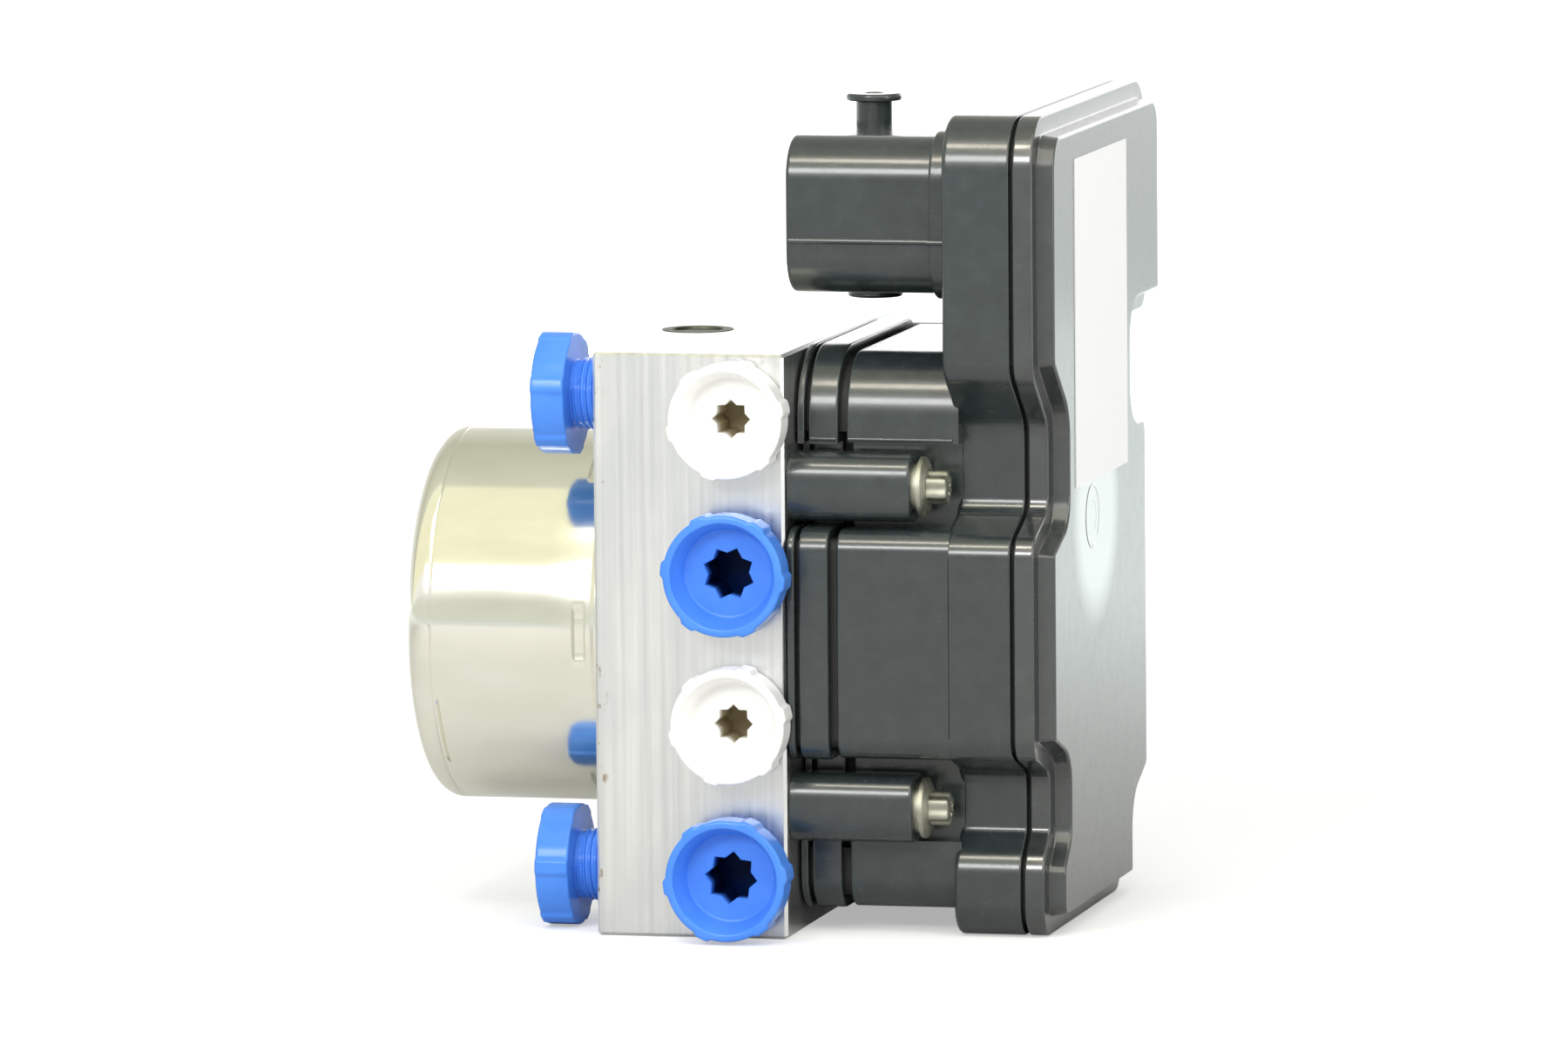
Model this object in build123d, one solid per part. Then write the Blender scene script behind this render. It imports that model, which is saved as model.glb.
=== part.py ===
from build123d import *
import math
import os

os.makedirs("parts", exist_ok=True)

# The origin is the centre of the hydraulic block's underside. +Z is up, +X points
# from the motor to the control unit, and the wheel ports look along -Y.
# Sizes are in millimetres.

# Fits, as radial or face clearances
THREAD_GAP = 0.05
SEAT_GAP = 0.02
SCREW_HOLE_GAP = 0.3

# Hydraulic block
BLOCK_X = 32.0
BLOCK_Y = 80.0
BLOCK_Z = 96.0
BLOCK_EDGE = 0.5
MOTOR_FACE = -BLOCK_X / 2
CONTROL_FACE = BLOCK_X / 2
PORT_FACE = -BLOCK_Y / 2
REAR_FACE = BLOCK_Y / 2

# Brake line ports, M12x1 and M10x1
LARGE_THREAD = 12.0
SMALL_THREAD = 10.0
PORT_DEPTH = 12.0
WHEEL_PORT_X = CONTROL_FACE - 8.5
WHEEL_PORT_LOWEST = 10.5
WHEEL_PORT_PITCH = 25.0
WHEEL_PORT_THREADS = (LARGE_THREAD, SMALL_THREAD, LARGE_THREAD, SMALL_THREAD)
INLET_PORT_Y = PORT_FACE + 12.0
INLET_PORTS_Z = (10.0, BLOCK_Z - 8.0)

# Transit plugs
LARGE_HEAD_RADIUS = 10.0
SMALL_HEAD_RADIUS = 9.5
PLUG_HEAD = 5.6
PLUG_RIM = 1.7
PLUG_DISH = 4.9
LARGE_STANDOFF = 3.1
SMALL_STANDOFF = 0.6
INLET_STANDOFF = 5.5
PLUG_ENGAGED = 8.0
LUG_COUNT = 6
LUG_WIDTH = 2.6
LUG_RISE = 0.45
STAR_POINTS = 8
LARGE_STAR = (4.35, 3.4)  # tip and root radius
SMALL_STAR = (3.2, 2.5)
STAR_DEPTH = 6.5
STAR_TO_LUG = 13.0  # degrees from a star's tip on to the next lug
WHEEL_PLUG_TURNS = (7.0, 13.0, -6.0, 13.0)
INLET_PLUG_TURNS = (4.0, 13.0)

# Bracket threads on the motor face, M6
BRACKET_HOLE_RADIUS = 3.0
BRACKET_HOLE_DEPTH = 12.0
BRACKET_HOLE_Y = REAR_FACE - 12.0
BRACKET_HOLE_EDGE = 10.0

# Pump motor can, with its rolled end and the dimples staked above its foot
MOTOR_Z = BLOCK_Z / 2
CAN_RADIUS = 30.8
CAN_LENGTH = 34.7
CAN_END_ROUND = 3.5
CAN_END_STEPS = 3
DIMPLE_COUNT = 6
DIMPLE_LENGTH = 2.3
DIMPLE_WIDTH = 8.0
DIMPLE_DEPTH = 0.6
DIMPLE_PLACE = 5.0

# Closures of the two pump bores, set just below the top face and the underside
PUMP_X = MOTOR_FACE + 8.2
PUMP_CLOSURE_RADIUS = 6.0
PUMP_CLOSURE_SET = 0.5

# Control unit: stations along X, measured from the block's control face
BAND_END = 7.4
BAND_RISE = 0.3
PLATE_START = 26.3
PLATE_END = 37.3
COVER_SEAM = 0.2
COVER_BAND = 4.9
COVER_RISE = 1.9
COVER_INSET = 3.4
COVER_SEAT = 9.0  # how far the cover's seat keeps from its outermost edges
GATE_MARK_Y = PORT_FACE + 33.4
GATE_MARK_DROP = 5.9  # below the label
GATE_MARK_RADIUS = 1.6
GATE_MARK_DEPTH = 0.4

# Housing screws, M5 with flanged six-lobed heads
SCREW_RADIUS = 2.5
SCREW_THREAD = 10.0
SCREW_TIP_GAP = 1.0
SCREW_FLANGE_RADIUS = 5.0
SCREW_FLANGE = 1.4
SCREW_HEAD_RADIUS = 2.8
SCREW_HEAD_ROOT = 2.3
SCREW_HEAD = 3.1
SCREW_LOBES = 6
BOSS_RADIUS = 5.7
BOSS_END = 21.4
WEB_THICK = 4.4
FRONT_SCREW_Y = PORT_FACE + 7.0
FRONT_SCREWS_Z = (21.3, 74.0)
REAR_SCREW_Y = REAR_FACE - 6.5
REAR_SCREWS_Z = (9.0, 88.9)

# Places on the YZ plane that the coil box and the plate behind it go through
POCKET_FLOOR = PORT_FACE + 12.2
BOX_UPPER_Y = PORT_FACE + 8.3
BOX_LOWER_Y = PORT_FACE + 8.8
BOX_TOP = BLOCK_Z - 0.8
BAND_TOP = BLOCK_Z - 0.1
BOX_ROUND = 10.0
BAND_ROUND = 11.0
BOX_BOTTOM = 4.0
MIDDLE_BOTTOM = FRONT_SCREWS_Z[0] + BOSS_RADIUS + 2.7
MIDDLE_TOP = FRONT_SCREWS_Z[1] - BOSS_RADIUS - 1.3
LOWER_POCKET_FLOOR = FRONT_SCREWS_Z[0] - BOSS_RADIUS - 0.1
UPPER_POCKET_TOP = FRONT_SCREWS_Z[1] + BOSS_RADIUS + 1.3
REAR_WALL_Y = REAR_FACE - 0.5
REAR_POCKET_Y = REAR_SCREW_Y - BOSS_RADIUS - 2.0
REAR_POCKET_RISE = BOSS_RADIUS + 1.8
PLATE_TOP = BLOCK_Z + 38.8
PLATE_BOTTOM = 0.0
PLATE_FRONT_Y = PORT_FACE + 0.6
PLATE_FOOT_Y = PORT_FACE + 7.0
PLATE_FOOT_TOP = 12.7
PLATE_FOOT_CREASE = 17.1
PLATE_REAR_Y = REAR_FACE + 11.9
PLATE_WALL_Y = REAR_FACE + 0.4
PLATE_POCKET_Y = REAR_SCREW_Y - SCREW_FLANGE_RADIUS
PLATE_SHOULDER = REAR_SCREWS_Z[1] + SCREW_FLANGE_RADIUS + 2.0
PLATE_NOTCH = REAR_SCREWS_Z[1] - SCREW_FLANGE_RADIUS - 1.9
PLATE_HEEL_TOP = REAR_SCREWS_Z[0] + SCREW_FLANGE_RADIUS + 3.8
PLATE_HEEL = REAR_SCREWS_Z[0] + SCREW_FLANGE_RADIUS - 0.7
PLATE_SLANT_TOP = UPPER_POCKET_TOP + 12.0
PLATE_SLANT_BOTTOM = UPPER_POCKET_TOP + 3.0

# Connector: a shroud that looks back over the motor, with lever pins
SHROUD_MOUTH = 1.8  # before the block's control face
SHROUD_HEIGHT = 25.8
SHROUD_WIDTH = 58.0
SHROUD_TOP = PLATE_TOP - 4.2
SHROUD_BOTTOM = SHROUD_TOP - SHROUD_HEIGHT
SHROUD_FRONT_Y = PLATE_FRONT_Y + 9.4
SHROUD_REAR_Y = SHROUD_FRONT_Y + SHROUD_WIDTH
SHROUD_ROUND = 7.0
SHROUD_WALL = 2.2
SHROUD_COLLAR = 0.9
SHROUD_COLLAR_START = PLATE_START - 4.0
SHROUD_RIDGE_Z = SHROUD_BOTTOM + 9.0
SHROUD_RIDGE = 0.5
SOCKET_FLOOR = PLATE_START - 0.3
LEVER_PIN_X = 6.7
LEVER_STEM_RADIUS = 2.95
LEVER_HEAD_RADIUS = 4.55
LOWER_LEVER_STEM = 1.5
UPPER_LEVER_STEM = 4.0
LEVER_HEAD = 1.2
SMALL_PIN = 0.64
SMALL_PIN_ROWS = 3
SMALL_PIN_COLUMNS = 12
SMALL_PIN_EDGE = 6.0
SMALL_PIN_PITCH = (SHROUD_WIDTH - 2 * (SHROUD_WALL + SMALL_PIN_EDGE)) / (SMALL_PIN_COLUMNS + 3)
SMALL_PIN_ROW_PITCH = (SHROUD_HEIGHT - 2 * SHROUD_WALL) / (SMALL_PIN_ROWS + 0.7)
POWER_PIN_WIDTH = 2.8
POWER_PIN_THICK = 0.8
POWER_PIN_COUNT = 2
POWER_PIN_PITCH = (SHROUD_HEIGHT - 2 * SHROUD_WALL) / (POWER_PIN_COUNT + 1)
PIN_TIP = 9.0

# Blank label on the cover
LABEL_THICK = 0.15
LABEL_Y = (PLATE_FRONT_Y + 19.4, PLATE_FRONT_Y + 60.9)
LABEL_Z = (PLATE_TOP - 62.1, PLATE_TOP - 8.0)

TO_CONTROL = Vector(1, 0, 0)
TO_MOTOR = Vector(-1, 0, 0)
TO_PORTS = Vector(0, -1, 0)
TO_REAR = Vector(0, 1, 0)
UP = Vector(0, 0, 1)
DOWN = Vector(0, 0, -1)
ON_BASE = (Align.CENTER, Align.CENTER, Align.MIN)
ON_INNER_END = (Align.MIN, Align.CENTER, Align.MIN)


def station(start, direction):
    """A plane across a direction, whose own x axis is up or, on vertical ones, +X."""
    sideways = TO_CONTROL if abs(direction.Z) > 0 else UP
    return Plane(origin=start, x_dir=sideways, z_dir=direction)


def rod(start, direction, length, radius):
    return station(start, direction) * Cylinder(radius, length, align=ON_BASE)


def turned(points):
    """A piece turned about +Z, from (radius, height) points."""
    return revolve(Plane.XZ * make_face(Polyline(*points, close=True)), Axis.Z)


def prism(outline, start_x, end_x):
    """An outline on the YZ plane, extruded from one X to another."""
    return extrude(Plane.YZ.offset(start_x) * outline, end_x - start_x)


def grown(outline, amount):
    """An outline moved outwards, or inwards by a negative amount, with its corners kept."""
    return offset(outline, amount, kind=Kind.INTERSECTION)


def block_between(low, high):
    """A box between two corners."""
    size = [high[axis] - low[axis] for axis in range(3)]
    centre = [(high[axis] + low[axis]) / 2 for axis in range(3)]
    return Pos(*centre) * Box(*size)


def star(points, tip_radius, root_radius):
    """A star outline with a tip on its own x axis."""
    corners = []
    for step in range(2 * points):
        radius = root_radius if step % 2 else tip_radius
        angle = math.pi * step / points
        corners.append((radius * math.cos(angle), radius * math.sin(angle)))
    return make_face(Polyline(*corners, close=True))


def at_x(distance):
    """An X place, from its distance beyond the block's control face."""
    return CONTROL_FACE + distance


# Places that more than one piece shares

def wheel_ports():
    """(centre on the port face, thread) of each wheel port, from the lowest up."""
    for index, thread in enumerate(WHEEL_PORT_THREADS):
        height = WHEEL_PORT_LOWEST + index * WHEEL_PORT_PITCH
        yield Vector(WHEEL_PORT_X, PORT_FACE, height), thread


def inlet_ports():
    for height in INLET_PORTS_Z:
        yield Vector(MOTOR_FACE, INLET_PORT_Y, height)


def screw_places():
    for height in FRONT_SCREWS_Z:
        yield Vector(CONTROL_FACE, FRONT_SCREW_Y, height)
    for height in REAR_SCREWS_Z:
        yield Vector(CONTROL_FACE, REAR_SCREW_Y, height)


# Hydraulic block

def bores():
    """Every hole of the block, each from its mouth inwards."""
    yield rod(Vector(PUMP_X, 0, 0), UP, PUMP_CLOSURE_SET, PUMP_CLOSURE_RADIUS)
    yield rod(Vector(PUMP_X, 0, BLOCK_Z), DOWN, PUMP_CLOSURE_SET, PUMP_CLOSURE_RADIUS)
    for centre, thread in wheel_ports():
        yield rod(centre, TO_REAR, PORT_DEPTH, thread / 2)
    for centre in inlet_ports():
        yield rod(centre, TO_CONTROL, PORT_DEPTH, LARGE_THREAD / 2)
    for centre in screw_places():
        yield rod(centre, TO_MOTOR, SCREW_THREAD, SCREW_RADIUS)
    for height in (BRACKET_HOLE_EDGE, BLOCK_Z - BRACKET_HOLE_EDGE):
        mouth = Vector(MOTOR_FACE, BRACKET_HOLE_Y, height)
        yield rod(mouth, TO_CONTROL, BRACKET_HOLE_DEPTH, BRACKET_HOLE_RADIUS)


def hydraulic_block():
    block = block_between((MOTOR_FACE, PORT_FACE, 0), (CONTROL_FACE, REAR_FACE, BLOCK_Z))
    return chamfer(block.edges(), BLOCK_EDGE) - list(bores())


# Transit plugs

def transit_plug(thread, standoff, turn):
    """A plug on +Z: its threaded neck below, its lugged and dished head above."""
    large = thread == LARGE_THREAD
    head = LARGE_HEAD_RADIUS if large else SMALL_HEAD_RADIUS
    tip_radius, root_radius = LARGE_STAR if large else SMALL_STAR
    neck = thread / 2 - THREAD_GAP
    top = standoff + PLUG_HEAD
    floor = top - PLUG_DISH
    rim = head - PLUG_RIM
    plug = turned([(0, -PLUG_ENGAGED), (neck, -PLUG_ENGAGED), (neck, standoff), (head, standoff),
                   (head, top), (rim, top), (rim, floor), (0, floor)])
    reach = PLUG_RIM / 2 + LUG_RISE
    lug = Pos(head + LUG_RISE - reach, 0, standoff) * Box(reach, LUG_WIDTH, PLUG_HEAD, align=ON_INNER_END)
    for index in range(LUG_COUNT):
        plug += Rot(0, 0, 360 * index / LUG_COUNT) * lug
    socket = extrude(Pos(0, 0, floor - STAR_DEPTH) * star(STAR_POINTS, tip_radius, root_radius), STAR_DEPTH)
    plug -= Rot(0, 0, -STAR_TO_LUG) * socket
    return Rot(0, 0, turn - 90) * plug


def transit_plugs():
    plugs = {}
    for index, (centre, thread) in enumerate(wheel_ports()):
        standoff = LARGE_STANDOFF if thread == LARGE_THREAD else SMALL_STANDOFF
        plug = transit_plug(thread, standoff, WHEEL_PLUG_TURNS[index])
        plugs[f"wheel_plug_{index + 1}"] = station(centre, TO_PORTS) * plug
    for name, centre, turn in zip(("lower", "upper"), inlet_ports(), INLET_PLUG_TURNS):
        plug = transit_plug(LARGE_THREAD, INLET_STANDOFF, turn)
        plugs[f"inlet_plug_{name}"] = station(centre, TO_MOTOR) * plug
    return plugs


# Pump motor

def motor_can():
    """The drawn can: its end is rolled over in short flats, and its foot is staked."""
    points = [(0, CAN_LENGTH), (0, 0), (CAN_RADIUS, 0)]
    inner_radius = CAN_RADIUS - CAN_END_ROUND
    inner_length = CAN_LENGTH - CAN_END_ROUND
    for step in range(CAN_END_STEPS + 1):
        angle = math.pi / 2 * step / CAN_END_STEPS
        points.append((inner_radius + CAN_END_ROUND * math.cos(angle),
                       inner_length + CAN_END_ROUND * math.sin(angle)))
    can = turned(points)
    dimple = Box(2 * DIMPLE_DEPTH, DIMPLE_WIDTH, DIMPLE_LENGTH)
    for index in range(DIMPLE_COUNT):
        can -= Rot(0, 0, 90 + 360 * index / DIMPLE_COUNT) * Pos(CAN_RADIUS, 0, DIMPLE_PLACE) * dimple
    return station(Vector(MOTOR_FACE, 0, MOTOR_Z), TO_MOTOR) * can


# Control unit

def rounded_face(corners):
    """A face from (y, z, corner radius) entries."""
    places = [(y, z) for y, z, _ in corners]
    rounds = [radius for _, _, radius in corners]
    return make_face(FilletPolyline(*places, radius=rounds, close=True))


def box_outline(top, top_round):
    """The coil box from behind, clockwise from its top front corner."""
    rear_low = REAR_SCREWS_Z[0] + REAR_POCKET_RISE
    rear_high = REAR_SCREWS_Z[1] - REAR_POCKET_RISE
    return rounded_face([
        (BOX_UPPER_Y, top, top_round), (REAR_POCKET_Y, top, 3),
        (REAR_POCKET_Y, rear_high, 0), (REAR_WALL_Y, rear_high, 3.5),
        (REAR_WALL_Y, rear_low, 3.5), (REAR_POCKET_Y, rear_low, 0),
        (REAR_POCKET_Y, BOX_BOTTOM, 4), (BOX_LOWER_Y, BOX_BOTTOM, 5),
        (BOX_LOWER_Y, LOWER_POCKET_FLOOR, 0), (POCKET_FLOOR, LOWER_POCKET_FLOOR, 0),
        (POCKET_FLOOR, MIDDLE_BOTTOM, 0), (PORT_FACE, MIDDLE_BOTTOM, 3.5),
        (PORT_FACE, MIDDLE_TOP, 3.5), (POCKET_FLOOR, MIDDLE_TOP, 0),
        (POCKET_FLOOR, UPPER_POCKET_TOP, 0), (BOX_UPPER_Y, UPPER_POCKET_TOP, 0)])


def plate_outline():
    """The plate and cover from behind, clockwise from the top front corner."""
    return rounded_face([
        (PLATE_FRONT_Y, PLATE_TOP, 8.5), (PLATE_REAR_Y, PLATE_TOP, 8),
        (PLATE_REAR_Y, PLATE_SHOULDER, 4), (PLATE_POCKET_Y, PLATE_SHOULDER, 3),
        (PLATE_POCKET_Y, PLATE_NOTCH, 3), (PLATE_WALL_Y, PLATE_NOTCH, 6),
        (PLATE_WALL_Y, PLATE_HEEL_TOP, 5), (PLATE_POCKET_Y, PLATE_HEEL, 4),
        (PLATE_POCKET_Y, PLATE_BOTTOM, 4), (PLATE_FOOT_Y, PLATE_BOTTOM, 5.5),
        (PLATE_FOOT_Y, PLATE_FOOT_TOP, 5.5), (POCKET_FLOOR, PLATE_FOOT_CREASE, 2),
        (POCKET_FLOOR, MIDDLE_BOTTOM - 3, 3), (PORT_FACE, MIDDLE_BOTTOM + 1, 4),
        (PORT_FACE, MIDDLE_TOP - 1, 4), (POCKET_FLOOR, MIDDLE_TOP + 3, 3),
        (POCKET_FLOOR, PLATE_SLANT_BOTTOM, 5), (PLATE_FRONT_Y, PLATE_SLANT_TOP, 5)])


def shroud_outline(grow):
    """The connector's rounded outline, grown or shrunk on every side."""
    width = SHROUD_REAR_Y - SHROUD_FRONT_Y + 2 * grow
    height = SHROUD_TOP - SHROUD_BOTTOM + 2 * grow
    middle_y = (SHROUD_REAR_Y + SHROUD_FRONT_Y) / 2
    middle_z = (SHROUD_TOP + SHROUD_BOTTOM) / 2
    return Pos(middle_y, middle_z) * RectangleRounded(width, height, SHROUD_ROUND + grow)


def screw_boss(centre):
    """A post from the block's face, webbed to the coil box."""
    pocket = POCKET_FLOOR if centre.Y < 0 else REAR_POCKET_Y
    low_y, high_y = sorted((centre.Y, pocket))
    web = block_between((CONTROL_FACE, low_y, centre.Z - WEB_THICK / 2),
                        (at_x(BOSS_END), high_y, centre.Z + WEB_THICK / 2))
    return rod(centre, TO_CONTROL, BOSS_END, BOSS_RADIUS) + web


def lever_pin(face, stem, outward):
    """A mushroom stud on the shroud's top or underside."""
    middle_y = (SHROUD_REAR_Y + SHROUD_FRONT_Y) / 2
    top = stem + LEVER_HEAD
    points = [(0, -SHROUD_WALL / 2), (LEVER_STEM_RADIUS, -SHROUD_WALL / 2), (LEVER_STEM_RADIUS, stem),
              (LEVER_HEAD_RADIUS, stem), (LEVER_HEAD_RADIUS, top), (0, top)]
    return station(Vector(at_x(LEVER_PIN_X), middle_y, face), outward) * turned(points)


def shroud():
    """The connector's outer wall with its collar, ridges and lever pins."""
    wall = prism(shroud_outline(0), at_x(-SHROUD_MOUTH), at_x(PLATE_START))
    wall += prism(shroud_outline(SHROUD_COLLAR), at_x(SHROUD_COLLAR_START), at_x(PLATE_START))
    middle_x = at_x((PLATE_START - SHROUD_MOUTH) / 2)
    ridge = Box(PLATE_START + SHROUD_MOUTH, 2 * SHROUD_RIDGE, 2 * SHROUD_RIDGE)
    for face in (SHROUD_FRONT_Y, SHROUD_REAR_Y):
        wall += Pos(middle_x, face, SHROUD_RIDGE_Z) * ridge
    wall += lever_pin(SHROUD_BOTTOM, LOWER_LEVER_STEM, DOWN)
    return wall + lever_pin(SHROUD_TOP, UPPER_LEVER_STEM, UP)


def ecu_housing():
    """One moulding: banded coil box, screw bosses, plate and connector shroud."""
    band = grown(box_outline(BAND_TOP, BAND_ROUND), BAND_RISE)
    housing = prism(band, CONTROL_FACE, at_x(BAND_END))
    housing += prism(box_outline(BOX_TOP, BOX_ROUND), at_x(BAND_END), at_x(PLATE_START))
    housing += prism(plate_outline(), at_x(PLATE_START), at_x(PLATE_END))
    housing += shroud()
    for centre in screw_places():
        housing += screw_boss(centre)
    housing -= prism(shroud_outline(-SHROUD_WALL), at_x(-SHROUD_MOUTH), at_x(SOCKET_FLOOR))
    for centre in screw_places():
        housing -= rod(centre, TO_CONTROL, BOSS_END, SCREW_RADIUS + SCREW_HOLE_GAP)
    return housing


def ecu_cover():
    """The lid: a band along the plate's edge, a raised field, and a seat on the plate."""
    outline = plate_outline()
    start = at_x(PLATE_END + COVER_SEAM)
    ledge = start + COVER_BAND
    field_top = ledge + COVER_RISE
    lid = prism(outline, start, ledge)
    lid += prism(grown(outline, -COVER_INSET), ledge, field_top)
    lid += block_between((at_x(PLATE_END), POCKET_FLOOR + COVER_SEAT, PLATE_BOTTOM + COVER_SEAT),
                         (start, PLATE_POCKET_Y - COVER_SEAT, PLATE_TOP - COVER_SEAT))
    mark = Vector(field_top, GATE_MARK_Y, LABEL_Z[0] - GATE_MARK_DROP)
    return lid - rod(mark, TO_MOTOR, GATE_MARK_DEPTH, GATE_MARK_RADIUS)


def connector_pins():
    """The contacts on the socket's floor: rows of small pins and a pair of power blades."""
    middle_z = (SHROUD_TOP + SHROUD_BOTTOM) / 2
    first_y = SHROUD_FRONT_Y + SHROUD_WALL + SMALL_PIN_EDGE
    power_y = first_y + (SMALL_PIN_COLUMNS + 1) * SMALL_PIN_PITCH
    places = []
    for row in range(SMALL_PIN_ROWS):
        z = middle_z + (row - (SMALL_PIN_ROWS - 1) / 2) * SMALL_PIN_ROW_PITCH
        for column in range(SMALL_PIN_COLUMNS):
            places.append((first_y + column * SMALL_PIN_PITCH, z, SMALL_PIN / 2, SMALL_PIN / 2))
    for index in range(POWER_PIN_COUNT):
        z = middle_z + (index - (POWER_PIN_COUNT - 1) / 2) * POWER_PIN_PITCH
        places.append((power_y, z, POWER_PIN_WIDTH / 2, POWER_PIN_THICK / 2))
    pins = []
    for y, z, half_y, half_z in places:
        pins.append(block_between((at_x(PIN_TIP), y - half_y, z - half_z),
                                  (at_x(SOCKET_FLOOR), y + half_y, z + half_z)))
    return pins


def housing_screws():
    """Four screws, each a shank, a flange and a lobed head."""
    shank = SCREW_RADIUS - SEAT_GAP
    head_start = BOSS_END + SCREW_FLANGE
    tip = SCREW_TIP_GAP - SCREW_THREAD
    screw = turned([(0, tip), (shank, tip), (shank, BOSS_END), (SCREW_FLANGE_RADIUS, BOSS_END),
                    (SCREW_FLANGE_RADIUS, head_start), (0, head_start)])
    screw += extrude(Pos(0, 0, head_start) * star(SCREW_LOBES, SCREW_HEAD_RADIUS, SCREW_HEAD_ROOT), SCREW_HEAD)
    return [station(centre, TO_CONTROL) * screw for centre in screw_places()]


def blank_label():
    field = at_x(PLATE_END + COVER_SEAM + COVER_BAND + COVER_RISE)
    return block_between((field, LABEL_Y[0], LABEL_Z[0]), (field + LABEL_THICK, LABEL_Y[1], LABEL_Z[1]))


def write(name, shape):
    solids = shape if isinstance(shape, list) else [shape]
    found = [solid for item in solids for solid in item.solids()]
    export_step(found[0] if len(found) == 1 else Compound(children=found), f"parts/{name}.step")


def build_all():
    nodes = {
        "hydraulic_block": hydraulic_block(),
        "motor_can": motor_can(),
        "ecu_housing": ecu_housing(),
        "ecu_cover": ecu_cover(),
        "connector_pins": connector_pins(),
        "housing_screws": housing_screws(),
        "blank_label": blank_label(),
    }
    nodes.update(transit_plugs())
    return nodes


for node_name, node_shape in build_all().items():
    write(node_name, node_shape)
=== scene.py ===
import math
import bmesh
import bpy
from mathutils import Matrix, Quaternion, Vector


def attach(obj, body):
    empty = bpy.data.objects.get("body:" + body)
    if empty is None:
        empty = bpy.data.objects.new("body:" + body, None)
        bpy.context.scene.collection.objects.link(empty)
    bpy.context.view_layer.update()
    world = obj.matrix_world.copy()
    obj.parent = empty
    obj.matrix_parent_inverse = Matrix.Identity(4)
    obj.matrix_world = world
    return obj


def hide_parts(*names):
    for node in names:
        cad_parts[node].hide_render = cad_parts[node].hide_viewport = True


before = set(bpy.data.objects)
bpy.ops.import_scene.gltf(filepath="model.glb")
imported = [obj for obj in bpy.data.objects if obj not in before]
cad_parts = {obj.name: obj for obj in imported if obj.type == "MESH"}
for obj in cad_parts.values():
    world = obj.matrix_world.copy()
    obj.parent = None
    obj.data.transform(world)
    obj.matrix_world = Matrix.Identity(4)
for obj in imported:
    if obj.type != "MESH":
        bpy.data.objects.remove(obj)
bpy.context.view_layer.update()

# Shapes are written in millimetres in the row frame, and become metres here
MM = 0.001

# Hydraulic block
MOTOR_FACE = -16.0
CONTROL_FACE = 16.0
PORT_FACE = -40.0
REAR_FACE = 40.0
BLOCK_TOP = 96.0

TO_CONTROL = Vector((1, 0, 0))
TO_MOTOR = Vector((-1, 0, 0))
TO_PORTS = Vector((0, -1, 0))
UP = Vector((0, 0, 1))
DOWN = Vector((0, 0, -1))


# Materials

# The patch round the gate: its pale colour is a painted highlight, and it is also smoother and coated
GLINT_PATCH_CENTRE = (-3.5, 67.5)
GLINT_PATCH_SIZE = (19.0, 19.5)
SPECKS_FROM_X = (-13.6, -14.6)  # where the specks begin and where they are at their full strength
SPECKS_FROM_Y = (-38.0, -39.0)
CAN_FOOT_REACH = (11.0, 5.0)  # how far from the block the can starts to dull and is at its dullest
MOULDING_IOR = 1.58
COAT_ROUGHNESS = 0.12
PLUG_GLOSS = 0.28
# HOLLOW_GLOSS is the lower specular level deep in a socket, part of the painted shade
HOLLOW_GLOSS = 0.05
HOLLOW = "hollow"  # a point attribute: how far down a plug's socket, which is painted darker the deeper it goes, as painted shade


def shader_nodes(name):
    """A new material, its node tree and its main shader."""
    material = bpy.data.materials.new(name)
    material.use_nodes = True
    return material, material.node_tree, material.node_tree.nodes["Principled BSDF"]


def texture_place(tree, scale):
    """Object coordinates in metres, scaled on each axis."""
    place = tree.nodes.new("ShaderNodeTexCoord")
    mapping = tree.nodes.new("ShaderNodeMapping")
    mapping.inputs["Scale"].default_value = scale
    tree.links.new(place.outputs["Object"], mapping.inputs["Vector"])
    return mapping.outputs["Vector"]


def noise(tree, scale, detail=3.0):
    texture = tree.nodes.new("ShaderNodeTexNoise")
    texture.inputs["Scale"].default_value = 1.0
    texture.inputs["Detail"].default_value = detail
    tree.links.new(texture_place(tree, scale), texture.inputs["Vector"])
    return texture.outputs["Fac"]


def ramp(tree, value, stops):
    """A colour ramp from (place, grey or colour) stops."""
    node = tree.nodes.new("ShaderNodeValToRGB")
    elements = node.color_ramp.elements
    while len(elements) < len(stops):
        elements.new(0.5)
    for element, (place, colour) in zip(elements, stops):
        element.position = place
        shade = (colour,) * 3 if isinstance(colour, float) else colour
        element.color = (*shade, 1.0)
    tree.links.new(value, node.inputs["Fac"])
    return node.outputs["Color"]


def mixed(tree, factor, first, second):
    """Two colours mixed; the factor and either colour may be a socket."""
    node = tree.nodes.new("ShaderNodeMix")
    node.data_type = "RGBA"
    colours = [socket for socket in node.inputs if socket.type == "RGBA"]
    for socket, value in zip([node.inputs["Factor"], *colours], (factor, first, second)):
        if isinstance(value, bpy.types.NodeSocket):
            tree.links.new(value, socket)
        else:
            socket.default_value = value if isinstance(value, float) else (*value, 1.0)
    return [socket for socket in node.outputs if socket.type == "RGBA"][0]


def bump(tree, shader, heights, distance):
    node = tree.nodes.new("ShaderNodeBump")
    node.inputs["Distance"].default_value = distance * MM
    node.inputs["Strength"].default_value = 1.0
    tree.links.new(heights, node.inputs["Height"])
    tree.links.new(node.outputs["Normal"], shader.inputs["Normal"])


def calculated(tree, operation, *values):
    """A Math node's result; each value may be a socket or a number."""
    node = tree.nodes.new("ShaderNodeMath")
    node.operation = operation
    for socket, value in zip(node.inputs, values):
        if isinstance(value, bpy.types.NodeSocket):
            tree.links.new(value, socket)
        else:
            socket.default_value = value
    return node.outputs["Value"]


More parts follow.
